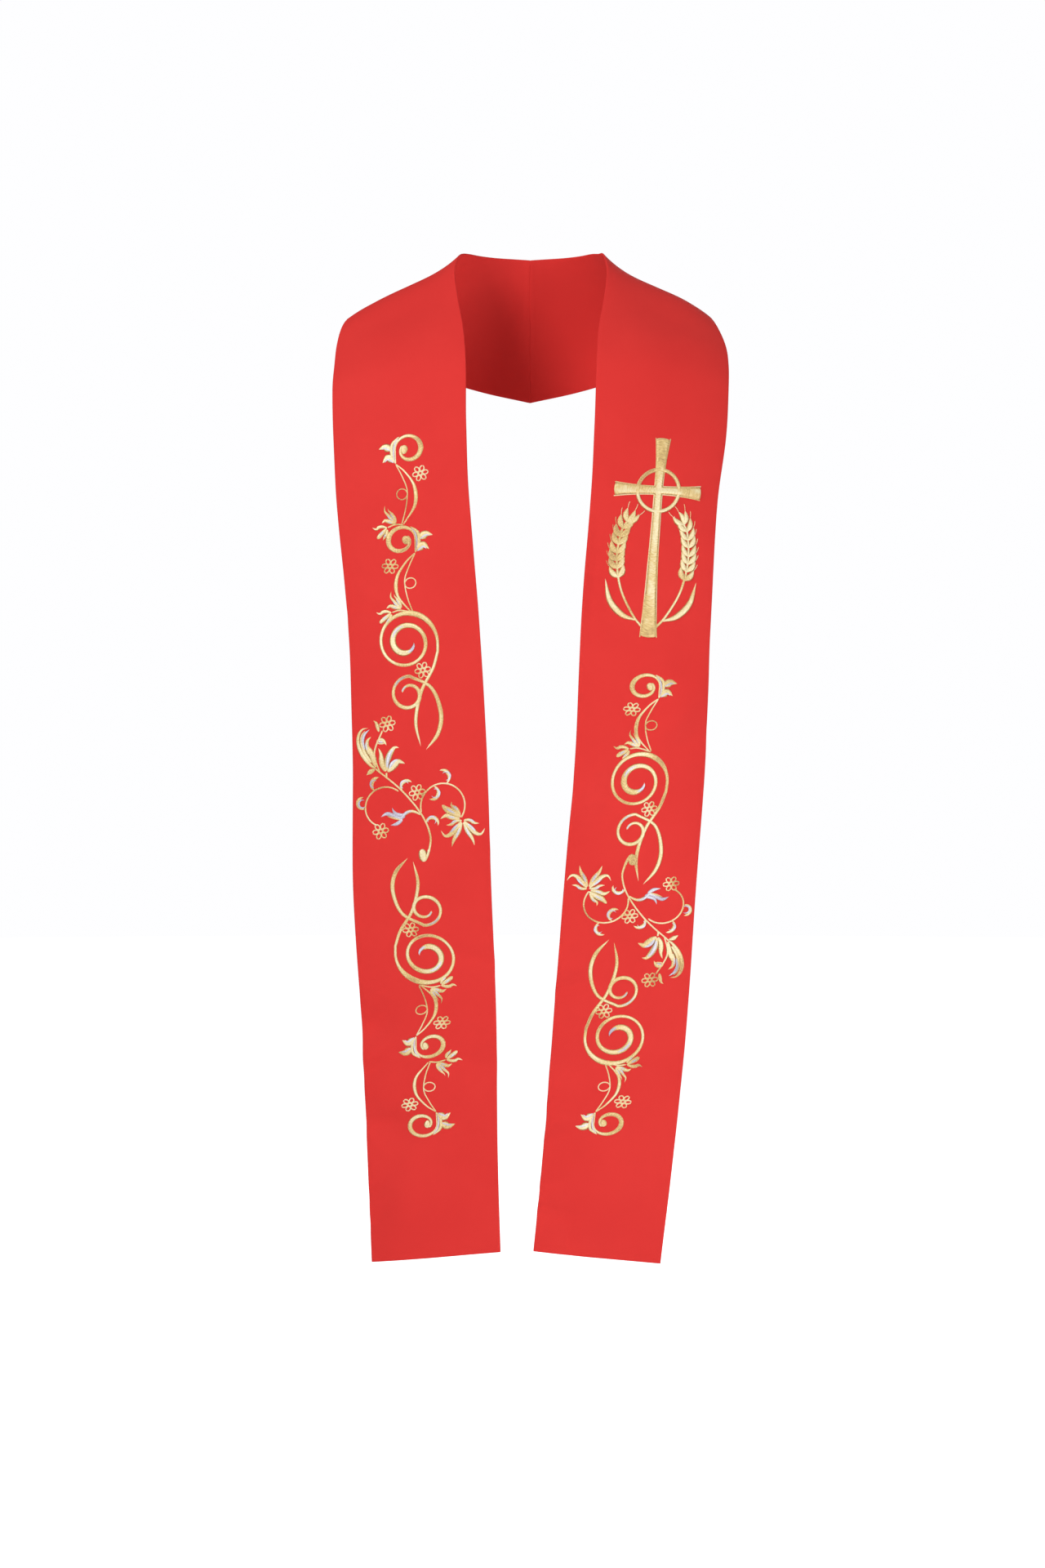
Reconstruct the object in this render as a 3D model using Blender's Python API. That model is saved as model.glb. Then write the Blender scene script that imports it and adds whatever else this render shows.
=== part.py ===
"""A clerical stole in its worn pose, hollow, in metres and +Z up.

Two halves of one long band lie over the shoulders, meet in a mitred seam at the centre of the
back and hang down the front. The front faces -Y and the wearer's right is at -X. The origin is
in the middle of the neck opening, at the height where the cloth lies on the shoulders.
"""
import math
from collections import namedtuple

import bmesh
import bpy
from mathutils import Vector

# Driving sizes, in metres
MM = 0.001
CLOTH_WALL = 0.002
SEAM_GAP = 0.0003
ROW_PITCH = 0.018
COLUMNS = 12
SMOOTH_ANGLE = math.radians(60)

# The cloth's finish
TWILL_RED = (0.70, 0.035, 0.030, 1.0)
TWILL_ROUGHNESS = 0.75

# A section runs across the band, from its neck edge to its outer edge. The six places are in
# millimetres, with x counted outwards from the centre line. The two lifts say how far the cloth
# stands off the straight line between its edges, near the neck edge and near the outer edge.
Section = namedtuple("Section", "neck_x neck_y neck_z outer_x outer_y outer_z near_lift far_lift")

# From the centre-back seam round the nape, alike on both halves
BACK = (
    Section(0, 84, 24, 0, 121, -148, 4, 10),
    Section(22, 81, 25, 56, 119, -136, 2, 12),
    Section(43, 71, 25, 106, 111, -122, -1, 16),
    Section(61, 56, 25, 149, 95, -106, -4, 20),
    Section(75, 38, 25, 182, 74, -91, -6, 22),
    Section(83, 23, 23, 201, 52, -72, -9, 18),
)

# Over the shoulder's ridge and down the front to the hem
RIGHT_FRONT = (
    Section(87, 11, 18, 211, 32, -58, -10, 13),
    Section(90, -1, 9, 219, 14, -56, -8, 9),
    Section(91.5, -14, -5, 227, -3, -68, -5, 9),
    Section(87, -40, -39, 233, -22, -93, 2, 12),
    Section(80, -72, -79, 235, -43, -121, 8, 14),
    Section(76.5, -99, -122, 236, -63, -152, 10, 13),
    Section(75.5, -124, -196, 233.5, -87, -213, 9, 12),
    Section(72.5, -140, -276, 228.5, -105, -290, 7, 10),
    Section(60, -152, -430, 214, -121, -440, 5, 7),
    Section(51, -157, -583, 208.5, -131, -592, 4, 6),
    Section(46, -160, -735, 207.5, -137, -743, 4, 5),
    Section(40, -162, -886, 198, -141, -895, 4, 5),
    Section(38.5, -163, -1037, 191, -143, -1047, 3, 7),
    Section(35, -163, -1164, 185.5, -144, -1178, 2, 9),
)
LEFT_FRONT = (
    Section(88, 12, 22, 211, 32, -57, -12, 13),
    Section(91, -1, 12, 217, 14, -55, -10, 9),
    Section(92.5, -14, -4, 226, -3, -69, -6, 9),
    Section(88, -40, -39, 235, -22, -94, 2, 12),
    Section(81, -72, -79, 237.5, -42, -120, 8, 14),
    Section(78, -99, -122, 236, -62, -152, 10, 14),
    Section(75, -124, -197, 231.5, -86, -213, 10, 13),
    Section(71, -140, -277, 220.5, -104, -290, 8, 11),
    Section(59, -152, -430, 211, -121, -442, 5, 8),
    Section(52, -157, -583, 204.5, -131, -594, 4, 7),
    Section(39, -160, -735, 193, -137, -746, 5, 5),
    Section(27, -162, -886, 182.5, -141, -898, 6, 4),
    Section(15.5, -163, -1037, 167, -143, -1050, 8, 3),
    Section(3, -163, -1163, 151.5, -144, -1180, 9, 1),
)

# The largest soft folds. across runs from 0 at the neck edge to 1 at the outer edge, and drop is
# the height below the origin. run and breadth are the fold's half length and half width, height
# is a ridge's or, below zero, a trough's, and slant turns it down towards the outer edge.
Fold = namedtuple("Fold", "across drop run breadth height slant")

RIGHT_FOLDS = (
    Fold(0.95, 905, 70, 24, -3.0, -38),
    Fold(0.92, 1010, 62, 20, -3.0, -34),
    Fold(0.40, 1090, 110, 34, 2.5, 80),
)
LEFT_FOLDS = (
    Fold(0.04, 960, 55, 20, -3.0, -25),
    Fold(0.04, 1055, 50, 18, -3.0, -20),
    Fold(0.70, 560, 150, 36, 2.0, 75),
)

Half = namedtuple("Half", "name side sections folds")

HALVES = (
    Half("right_half", -1, BACK + RIGHT_FRONT, RIGHT_FOLDS),
    Half("left_half", 1, BACK + LEFT_FRONT, LEFT_FOLDS),
)


def clear_scene():
    """Start from an empty scene."""
    for thing in list(bpy.data.objects):
        bpy.data.objects.remove(thing, do_unlink=True)


def neck_edge(section):
    """The section's point on the neck edge, in metres."""
    return Vector((section.neck_x, section.neck_y, section.neck_z)) * MM


def outer_edge(section):
    """The section's point on the outer edge, in metres."""
    return Vector((section.outer_x, section.outer_y, section.outer_z)) * MM


def middle(section):
    """The section's point half way across the band."""
    return (neck_edge(section) + outer_edge(section)) / 2


def stations(sections):
    """How far along the band each section lies, from the centre-back seam."""
    distances = [0.0]
    for before, after in zip(sections, sections[1:]):
        distances.append(distances[-1] + (middle(after) - middle(before)).length)
    return distances


def row_distances(places):
    """Where the rows of the mesh lie: each gap of the table in equal steps, none over the pitch."""
    distances = [0.0]
    for start, end in zip(places, places[1:]):
        steps = math.ceil((end - start) / ROW_PITCH)
        distances += [start + (end - start) * step / steps for step in range(1, steps + 1)]
    return distances


def slope(values, places, index):
    """The rate of change of one column at one section, from its neighbours."""
    before = max(index - 1, 0)
    after = min(index + 1, len(values) - 1)
    return (values[after] - values[before]) / (places[after] - places[before])


def section_at(sections, places, distance):
    """A smooth section between those of the table, at a distance along the band."""
    last = len(places) - 2
    index = next((i for i in range(last) if distance < places[i + 1]), last)
    span = places[index + 1] - places[index]
    t = (distance - places[index]) / span
    columns = []
    for values in zip(*sections):
        start_slope = slope(values, places, index) * span
        end_slope = slope(values, places, index + 1) * span
        rise = values[index + 1] - values[index]
        bend = t * (1 - t) * ((start_slope - rise) * (1 - t) + (rise - end_slope) * t)
        columns.append(values[index] + rise * t + bend)
    return Section(*columns)


def fold_height(folds, across, width, drop):
    """How far the folds move the cloth out at one place of the band."""
    height = 0.0
    for fold in folds:
        aside = (across - fold.across) * width
        below = drop - fold.drop * MM
        turn = math.radians(fold.slant)
        along_fold = (aside * math.cos(turn) + below * math.sin(turn)) / (fold.run * MM)
        over_fold = (below * math.cos(turn) - aside * math.sin(turn)) / (fold.breadth * MM)
        height += fold.height * MM * math.exp(-along_fold ** 2 - over_fold ** 2)
    return height


def cloth_point(half, places, across, distance):
    """A point of the cloth's face, in metres."""
    step = ROW_PITCH / 2
    here = section_at(half.sections, places, distance)
    before = section_at(half.sections, places, max(distance - step, 0.0))
    after = section_at(half.sections, places, min(distance + step, places[-1]))
    chord = outer_edge(here) - neck_edge(here)
    outwards = (middle(after) - middle(before)).cross(chord).normalized()
    near_share = 3 * across * (1 - across) ** 2
    far_share = 3 * across ** 2 * (1 - across)
    lift = (near_share * here.near_lift + far_share * here.far_lift) * MM
    point = neck_edge(here) + chord * across
    lift += fold_height(half.folds, across, chord.length, -point.z)
    point += outwards * lift
    return Vector((point.x * half.side, point.y, point.z))


def close_seam_end(cloth, side):
    """Lay the seam's end face flat, half a seam gap from the centre of the back."""
    for vert in cloth.verts:
        if abs(vert.co.x) < CLOTH_WALL / 2:
            vert.co.x = side * SEAM_GAP / 2


def twill(name):
    """The red twill of one half."""
    material = bpy.data.materials.new(name)
    material.use_nodes = True
    shader = material.node_tree.nodes["Principled BSDF"]
    shader.inputs["Base Color"].default_value = TWILL_RED
    shader.inputs["Roughness"].default_value = TWILL_ROUGHNESS
    shader.inputs["Metallic"].default_value = 0.0
    material.diffuse_color = TWILL_RED
    return material


def make_half(half):
    """One half of the stole, as a wall of cloth."""
    places = stations(half.sections)
    distances = row_distances(places)
    rows = len(distances) - 1
    cloth = bmesh.new()
    bmesh.ops.create_grid(cloth, x_segments=COLUMNS, y_segments=rows, size=0.5)
    for vert in cloth.verts:
        across = vert.co.x + 0.5
        distance = distances[round((vert.co.y + 0.5) * rows)]
        vert.co = cloth_point(half, places, across, distance)
    if half.side > 0:
        bmesh.ops.reverse_faces(cloth, faces=cloth.faces)
    cloth.normal_update()
    bmesh.ops.solidify(cloth, geom=cloth.faces[:], thickness=CLOTH_WALL)
    close_seam_end(cloth, half.side)
    bmesh.ops.recalc_face_normals(cloth, faces=cloth.faces)
    mesh = bpy.data.meshes.new(half.name)
    cloth.to_mesh(mesh)
    cloth.free()
    mesh.shade_smooth()
    mesh.set_sharp_from_angle(angle=SMOOTH_ANGLE)
    mesh.materials.append(twill(half.name + "_twill"))
    piece = bpy.data.objects.new(half.name, mesh)
    bpy.context.collection.objects.link(piece)
    return piece


clear_scene()
for stole_half in HALVES:
    make_half(stole_half)
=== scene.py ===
"""The looks of a red clerical stole in its worn pose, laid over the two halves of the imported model.

Metres and +Z up. The front faces -Y and the wearer's right is at -X. Every piece rides on the one
body, root.
"""
import math
from collections import namedtuple

import bmesh
import bpy
import numpy as np
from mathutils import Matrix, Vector, noise


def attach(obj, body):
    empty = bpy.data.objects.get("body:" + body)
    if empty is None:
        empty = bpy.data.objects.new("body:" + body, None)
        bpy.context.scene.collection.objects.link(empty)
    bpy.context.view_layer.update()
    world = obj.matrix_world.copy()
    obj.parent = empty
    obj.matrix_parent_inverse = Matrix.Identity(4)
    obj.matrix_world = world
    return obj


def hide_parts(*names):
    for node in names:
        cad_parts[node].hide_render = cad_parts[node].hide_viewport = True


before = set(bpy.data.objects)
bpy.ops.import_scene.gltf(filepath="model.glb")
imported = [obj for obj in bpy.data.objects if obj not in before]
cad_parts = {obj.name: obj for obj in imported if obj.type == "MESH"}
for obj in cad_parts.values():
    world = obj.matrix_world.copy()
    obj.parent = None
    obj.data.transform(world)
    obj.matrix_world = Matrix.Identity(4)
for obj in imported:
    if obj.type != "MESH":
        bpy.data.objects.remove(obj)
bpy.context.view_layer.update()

# The camera
# It stands level, four metres in front of the bands and at half their height, as in the photograph.
camera_data = bpy.data.cameras.new("camera")
camera_data.sensor_fit = "VERTICAL"
camera_data.sensor_height = 24
camera_data.lens = 52.63
camera = bpy.data.objects.new("camera", camera_data)
camera.location = (-0.0095, -4.15, -0.6209)
camera.rotation_euler = (math.radians(90), 0, 0)
bpy.context.scene.collection.objects.link(camera)
bpy.context.scene.camera = camera
bpy.context.scene.view_settings.view_transform = "Standard"

# The two halves of the stole
# Each is one length of red polyester twill with its backing, bagged out so that all its edges are
# soft turned folds. A mitred seam joins the halves at the centre of the back, and they hang free.
MM = 0.001
CLOTH_WALL = 0.002
EDGE_ROUND = 0.0009
EDGE_ANGLE = math.radians(50)
SEAM_LAP = 0.0004
SEAM_DIP = 0.0012
SEAM_REACH = 0.006
BAND_WIDTH = 0.160
ROW_PITCH = 0.006
SLOPE_STEP = 0.009
COLUMNS = 32
RIPPLE = 0.0015
RIPPLE_SCALE = 14

# A section runs across the band, from its neck edge to its outer edge. The six places are in
# millimetres, with x counted outwards from the centre line. The two lifts say how far the cloth
# stands off the straight line between its edges, near the neck edge and near the outer edge.
Section = namedtuple("Section", "neck_x neck_y neck_z outer_x outer_y outer_z near_lift far_lift")

# From the centre-back seam round the nape, alike on both halves
BACK = (
    Section(0, 84, 24, 0, 121, -148, 4, 10),
    Section(22, 81, 25, 56, 119, -136, 2, 12),
    Section(43, 71, 25, 106, 111, -122, -1, 16),
    Section(61, 56, 25, 149, 95, -106, -4, 20),
    Section(75, 38, 25, 182, 74, -91, -6, 22),
    Section(83, 23, 23, 201, 52, -72, -9, 18),
)

# Over the shoulder's ridge and down the front to the hem
RIGHT_FRONT = (
    Section(87, 11, 18, 211, 32, -58, -10, 13),
    Section(90, -1, 9, 219, 14, -56, -8, 9),
    Section(91.5, -14, -5, 227, -3, -68, -5, 9),
    Section(87, -40, -39, 233, -22, -93, 2, 12),
    Section(80, -72, -79, 235, -43, -121, 8, 14),
    Section(76.5, -99, -122, 236, -63, -152, 10, 13),
    Section(75.5, -124, -196, 233.5, -87, -213, 9, 12),
    Section(72.5, -140, -276, 228.5, -105, -290, 7, 10),
    Section(60, -152, -430, 214, -121, -440, 5, 7),
    Section(51, -157, -583, 208.5, -131, -592, 4, 6),
    Section(46, -160, -735, 207.5, -137, -743, 4, 5),
    Section(40, -162, -886, 198, -141, -895, 4, 5),
    Section(38.5, -163, -1037, 191, -143, -1047, 3, 7),
    Section(35, -163, -1164, 185.5, -144, -1178, 2, 9),
)
LEFT_FRONT = (
    Section(88, 12, 22, 211, 32, -57, -12, 13),
    Section(91, -1, 12, 217, 14, -55, -10, 9),
    Section(92.5, -14, -4, 226, -3, -69, -6, 9),
    Section(88, -40, -39, 235, -22, -94, 2, 12),
    Section(81, -72, -79, 237.5, -42, -120, 8, 14),
    Section(78, -99, -122, 236, -62, -152, 10, 14),
    Section(75, -124, -197, 231.5, -86, -213, 10, 13),
    Section(71, -140, -277, 220.5, -104, -290, 8, 11),
    Section(59, -152, -430, 211, -121, -442, 5, 8),
    Section(52, -157, -583, 204.5, -131, -594, 4, 7),
    Section(39, -160, -735, 193, -137, -746, 5, 5),
    Section(27, -162, -886, 182.5, -141, -898, 6, 4),
    Section(15.5, -163, -1037, 167, -143, -1050, 8, 3),
    Section(3, -163, -1163, 151.5, -144, -1180, 9, 1),
)

# The creases and ridges. across runs from 0 at the neck edge to 1 at the outer edge, and drop is
# the height below the origin. run and breadth are a crease's half length and half width, height is
# a ridge's or, below zero, a trough's, and slant turns it down towards the outer edge.
Fold = namedtuple("Fold", "across drop run breadth height slant")

RIGHT_FOLDS = (
    Fold(0.95, 905, 70, 24, -3.0, -38),
    Fold(0.92, 1010, 62, 20, -3.0, -34),
    Fold(0.40, 1090, 110, 34, 2.5, 80),
    Fold(0.88, 421, 36, 9, -2.0, 5),
    Fold(0.08, 694, 30, 9, -1.9, -20),
    Fold(0.13, 824, 34, 9, -3.4, -12),
    Fold(0.87, 866, 36, 11, 2.4, 40),
    Fold(0.85, 895, 36, 13, -3.8, 36),
    Fold(0.88, 929, 34, 10, 2.4, 30),
    Fold(0.90, 950, 34, 10, -3.2, 34),
    Fold(0.13, 944, 36, 13, -2.4, -10),
    Fold(0.89, 1015, 34, 9, -3.2, 5),
    Fold(0.67, 1086, 80, 22, 3.2, 73),
    Fold(0.96, 1098, 20, 8, -2.6, 40),
    Fold(0.95, 1126, 20, 8, -2.8, 42),
    Fold(0.45, 262, 14, 8, -1.3, 10),
)
LEFT_FOLDS = (
    Fold(0.04, 960, 55, 20, -3.0, -25),
    Fold(0.04, 1055, 50, 18, -3.0, -20),
    Fold(0.70, 560, 150, 36, 2.0, 75),
    Fold(0.07, 375, 110, 10, -1.8, 88),
    Fold(0.84, 528, 60, 18, 2.6, -60),
    Fold(0.84, 569, 40, 14, -2.2, -20),
    Fold(0.10, 620, 44, 14, 2.4, -55),
    Fold(0.27, 650, 36, 12, -2.2, -55),
    Fold(0.11, 857, 30, 8, -3.4, -16),
    Fold(0.07, 992, 26, 8, -3.2, -12),
    Fold(0.06, 1032, 28, 9, -3.4, -25),
    Fold(0.05, 1083, 22, 8, -3.2, -15),
    Fold(0.09, 1117, 26, 8, -3.4, 8),
    Fold(0.26, 1150, 28, 9, -1.9, 80),
    Fold(0.62, 1090, 70, 20, 1.8, -62),
)

Half = namedtuple("Half", "name side sections folds")
RIGHT_HALF = Half("right_half", -1, BACK + RIGHT_FRONT, RIGHT_FOLDS)
LEFT_HALF = Half("left_half", 1, BACK + LEFT_FRONT, LEFT_FOLDS)


def neck_edge(section):
    """The section's point on the neck edge, in metres."""
    return Vector((section.neck_x, section.neck_y, section.neck_z)) * MM


def outer_edge(section):
    """The section's point on the outer edge, in metres."""
    return Vector((section.outer_x, section.outer_y, section.outer_z)) * MM


def middle(section):
    """The section's point half way across the band."""
    return (neck_edge(section) + outer_edge(section)) / 2


def stations(sections):
    """How far along the band each section lies, from the centre-back seam."""
    distances = [0.0]
    for before, after in zip(sections, sections[1:]):
        distances.append(distances[-1] + (middle(after) - middle(before)).length)
    return distances


def slope(values, places, index):
    """The rate of change of one column at one section, from its neighbours."""
    before = max(index - 1, 0)
    after = min(index + 1, len(values) - 1)
    return (values[after] - values[before]) / (places[after] - places[before])


def section_at(sections, places, distance):
    """A smooth section between those of the table, at a distance along the band."""
    last = len(places) - 2
    index = next((i for i in range(last) if distance < places[i + 1]), last)
    span = places[index + 1] - places[index]
    t = (distance - places[index]) / span
    columns = []
    for values in zip(*sections):
        start_slope = slope(values, places, index) * span
        end_slope = slope(values, places, index + 1) * span
        rise = values[index + 1] - values[index]
        bend = t * (1 - t) * ((start_slope - rise) * (1 - t) + (rise - end_slope) * t)
        columns.append(values[index] + rise * t + bend)
    return Section(*columns)


def fold_height(folds, across, width, drop):
    """How far the creases and ridges move the cloth out at one place of the band."""
    height = 0.0
    for fold in folds:
        aside = (across - fold.across) * width
        below = drop - fold.drop * MM
        turn = math.radians(fold.slant)
        along_fold = (aside * math.cos(turn) + below * math.sin(turn)) / (fold.run * MM)
        over_fold = (below * math.cos(turn) - aside * math.sin(turn)) / (fold.breadth * MM)
        height += fold.height * MM * math.exp(-along_fold ** 2 - over_fold ** 2)
    return height


def face_row(half, places, distance):
    """One row of the cloth's face, from the neck edge to the outer edge."""
    here = section_at(half.sections, places, distance)
    before = section_at(half.sections, places, max(distance - SLOPE_STEP, 0.0))
    after = section_at(half.sections, places, min(distance + SLOPE_STEP, places[-1]))
    chord = outer_edge(here) - neck_edge(here)
    outwards = (middle(after) - middle(before)).cross(chord).normalized()
    seam_dip = SEAM_DIP * math.exp(-(distance / SEAM_REACH) ** 2)
    row = []
    for column in range(COLUMNS + 1):
        across = column / COLUMNS
        near_share = 3 * across * (1 - across) ** 2
        far_share = 3 * across ** 2 * (1 - across)
        lift = (near_share * here.near_lift + far_share * here.far_lift) * MM
        point = neck_edge(here) + chord * across
        lift += fold_height(half.folds, across, chord.length, -point.z) - seam_dip
        place = Vector((across * chord.length, distance, half.side)) * RIPPLE_SCALE
        lift += RIPPLE * noise.noise(place)
        point += outwards * lift
        row.append((point.x * half.side, point.y, point.z))
    return row


def cloth_face(half):
    """The cloth's face as an even grid of points, row after row from the back seam to the hem."""
    places = stations(half.sections)
    rows = round(places[-1] / ROW_PITCH)
    face = np.array([face_row(half, places, places[-1] * row / rows) for row in range(rows + 1)])
    face[0, :, 0] = -half.side * SEAM_LAP
    return face


def cloth_length(face):
    """The length of the band along its middle, in metres."""
    line = face[:, COLUMNS // 2]
    return float(np.linalg.norm(np.diff(line, axis=0), axis=1).sum())


def make_cloth(half, face, material):
    """One half of the stole: a thin shell of cloth with rounded edges and a flat pattern as its UV map."""
    rows = len(face) - 1
    length = cloth_length(face)
    cloth = bmesh.new()
    flat = cloth.loops.layers.uv.new("flat")
    bmesh.ops.create_grid(cloth, x_segments=COLUMNS, y_segments=rows, size=0.5)
    for part in cloth.faces:
        for loop in part.loops:
            across, along = loop.vert.co.x + 0.5, loop.vert.co.y + 0.5
            loop[flat].uv = (across * BAND_WIDTH, along * length)
    for vert in cloth.verts:
        vert.co = face[round((vert.co.y + 0.5) * rows), round((vert.co.x + 0.5) * COLUMNS)]
    if half.side > 0:
        bmesh.ops.reverse_faces(cloth, faces=cloth.faces)
    mesh = bpy.data.meshes.new(half.name + "_cloth")
    cloth.to_mesh(mesh)
    cloth.free()
    mesh.shade_smooth()
    mesh.materials.append(material)
    piece = bpy.data.objects.new(half.name + "_cloth", mesh)
    bpy.context.scene.collection.objects.link(piece)
    wall = piece.modifiers.new("wall", "SOLIDIFY")
    wall.thickness = CLOTH_WALL
    wall.offset = -1
    edge = piece.modifiers.new("edge", "BEVEL")
    edge.width = EDGE_ROUND
    edge.segments = 3
    edge.limit_method = "ANGLE"
    edge.angle_limit = EDGE_ANGLE
    return piece


# The materials' nodes
BUMP_DEPTH = 0.0002


def link(tree, out_node, out_name, in_node, in_name):
    """Join one node's output to another's input."""
    tree.links.new(out_node.outputs[out_name], in_node.inputs[in_name])


def set_inputs(node, values):
    """Give some of a node's inputs their values."""
    for name, value in values.items():
        node.inputs[name].default_value = value


def add_node(tree, kind, values=None, **settings):
    """A shader node with its settings and the values of its inputs."""
    node = tree.nodes.new(kind)
    for name, value in settings.items():
        setattr(node, name, value)
    set_inputs(node, values or {})
    return node


def add_noise(tree, source, output, scale, detail):
    """A noise texture, laid out by another node's places."""
    node = add_node(tree, "ShaderNodeTexNoise", {"Scale": scale, "Detail": detail})
    link(tree, source, output, node, "Vector")
    return node


def add_range(tree, source, output, given, wanted=(0, 1), **settings):
    """A node that maps a value's given range onto the wanted one."""
    names = ("From Min", "From Max", "To Min", "To Max")
    node = add_node(tree, "ShaderNodeMapRange", dict(zip(names, given + wanted)), **settings)
    link(tree, source, output, node, "Value")
    return node


def add_bump(tree, source, output, strength, shader):
    """Bump on a shader, raised by another node's value."""
    bump = add_node(tree, "ShaderNodeBump", {"Strength": strength, "Distance": BUMP_DEPTH})
    link(tree, source, output, bump, "Height")
    link(tree, bump, "Normal", shader, "Normal")


def node_material(name):
    """A new material with its node tree and its shader."""
    material = bpy.data.materials.new(name)
    material.use_nodes = True
    tree = material.node_tree
    return material, tree, tree.nodes["Principled BSDF"]


# The twill's weave and dye
# The pitches are in metres. A wave texture of scale 1 repeats every 0.314 of its place.
WAVE_REPEAT = 0.314
RIB_PITCH = 0.00075
RIB_ANGLE = math.radians(58)
YARN_PITCH = 0.00045
TWILL_DARK = (0.69, 0.028, 0.025, 1)
TWILL_LIGHT = (0.77, 0.040, 0.034, 1)


def red_twill():
    """Matt red twill: fine diagonal ribs on the flat pattern, a soft nap and slightly uneven dye."""
    material, tree, shader = node_material("red_twill")
    set_inputs(shader, {
        "Roughness": 0.72,
        "Specular IOR Level": 0.14,
        "Sheen Weight": 0.06,
        "Sheen Roughness": 0.45,
        "Sheen Tint": (1.0, 0.45, 0.40, 1),
    })
    flat = add_node(tree, "ShaderNodeUVMap", uv_map="flat")
    ribs_place = add_node(tree, "ShaderNodeMapping", {"Rotation": (0, 0, RIB_ANGLE)})
    link(tree, flat, "UV", ribs_place, "Vector")
    rib_values = {"Scale": WAVE_REPEAT / RIB_PITCH, "Distortion": 0.6, "Detail": 1}
    ribs = add_node(tree, "ShaderNodeTexWave", rib_values, wave_type="BANDS", bands_direction="X")
    link(tree, ribs_place, "Vector", ribs, "Vector")
    yarn_values = {"Scale": WAVE_REPEAT / YARN_PITCH}
    yarns = add_node(tree, "ShaderNodeTexWave", yarn_values, wave_type="BANDS", bands_direction="Y")
    link(tree, flat, "UV", yarns, "Vector")
    dye = add_noise(tree, flat, "UV", 9, 4)
    nap = add_noise(tree, flat, "UV", 900, 2)
    tone = add_node(tree, "ShaderNodeMix", {"A": TWILL_DARK, "B": TWILL_LIGHT}, data_type="RGBA")
    link(tree, dye, "Fac", tone, "Factor")
    shade = add_node(tree, "ShaderNodeMix", {"Factor": 0.16}, data_type="RGBA", blend_type="MULTIPLY")
    link(tree, tone, "Result", shade, "A")
    link(tree, ribs, "Color", shade, "B")
    link(tree, shade, "Result", shader, "Base Color")
    weave = add_node(tree, "ShaderNodeMath", {1: 0.4}, operation="MULTIPLY_ADD")
    link(tree, yarns, "Fac", weave, 0)
    link(tree, ribs, "Fac", weave, 2)
    relief = add_node(tree, "ShaderNodeMath", operation="ADD")
    link(tree, weave, "Value", relief, 0)
    link(tree, nap, "Fac", relief, 1)
    add_bump(tree, relief, "Value", 0.25, shader)
    return material


twill = red_twill()
right_face = cloth_face(RIGHT_HALF)
left_face = cloth_face(LEFT_HALF)
right_cloth = make_cloth(RIGHT_HALF, right_face, twill)
left_cloth = make_cloth(LEFT_HALF, left_face, twill)
for cloth_piece, node in ((right_cloth, "right_half"), (left_cloth, "left_half")):
    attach(cloth_piece, "root")
    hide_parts(node)

# The embroidery's stitches
# Machine embroidery in gold and silver rayon: satin stitch across each stroke, over a low padding,
# with fine cord lines for the thin stems. It is drawn flat, in millimetres aside from the band's middle
# and above the hem, with the height as the third place, and then laid down on the cloth's face.
LINE_PITCH = 1.5
FINE_PITCH = 0.9
SATIN_HEIGHT = 0.75
SATIN_SIDES = 8
SATIN_SLANT = 0.5
CORD_HEIGHT = 0.6
CORD_BREADTH = 1.6
CORD_SIDES = 6
CORD_SLANT = 1.0
OVERLAY = 0.4
STREAK_ASIDE = 1.1
WELD = 1e-5

# A stroke's ridge: how far its underside lies in the cloth, how square its crown is, the least
# rounding of its ends, the half breadth from which the painted shade and highlight on its rims show in
# full, and the rise that is none
SUNK = 0.35
CROWN_POWER = 0.8
LEAST_ROUND = 0.3
FULL_RIM = 1.6
TINY_RISE = 1e-6

# How finely a line is drawn before its points are set at even steps
FEWEST_STEPS = 6
CURVE_POINTS = 14
SCROLL_POINTS = 80
BOW_POINTS = 24
LOOP_POINTS = 20
LOOP_OVERLAP = 1.04

# A rosette: its petals' middles, half lengths and half breadths, and its ring
PETALS = 6
PETAL_REACH = 6.1
PETAL_LENGTH = 3.3
PETAL_BREADTH = 2.5
ROSETTE_RING = 2.1
ROSETTE_TURN = 8

# Where a motif lies on its band. wide and tall stretch it, below zero where it is turned over, lean
# moves it aside for each step up, and tilt raises it for each step aside.
Place = namedtuple("Place", "x y wide tall lean tilt")


def smooth_along(values, count):
    """Values at even steps along a smooth run through a few given ones."""
    values = np.array(values, float)
    padded = np.concatenate([[2 * values[0] - values[1]], values, [2 * values[-1] - values[-2]]])
    place = np.linspace(0, len(values) - 1, count)
    index = np.minimum(place.astype(int), len(values) - 2)
    t = (place - index).reshape((-1,) + (1,) * (values.ndim - 1))
    before, start, end, after = (padded[index + step] for step in range(4))
    bend = (2 * before - 5 * start + 4 * end - after) * t ** 2
    twist = (3 * start - before - 3 * end + after) * t ** 3
    return start + ((end - before) * t + bend + twist) / 2


def walk(points):
    """How far along a line each of its points lies."""
    return np.concatenate([[0], np.cumsum(np.linalg.norm(np.diff(points, axis=0), axis=1))])


def even_line(points, pitch=LINE_PITCH):
    """The same line with its points at even steps."""
    points = np.array(points, float)
    walked = walk(points)
    steps = max(FEWEST_STEPS, round(walked[-1] / pitch))
    wanted = np.linspace(0, walked[-1], steps + 1)
    return np.stack([np.interp(wanted, walked, points[:, axis]) for axis in (0, 1)], axis=1)


def through(*points):
    """A smooth line through a few points."""
    return even_line(smooth_along(points, CURVE_POINTS * len(points)))


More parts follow.
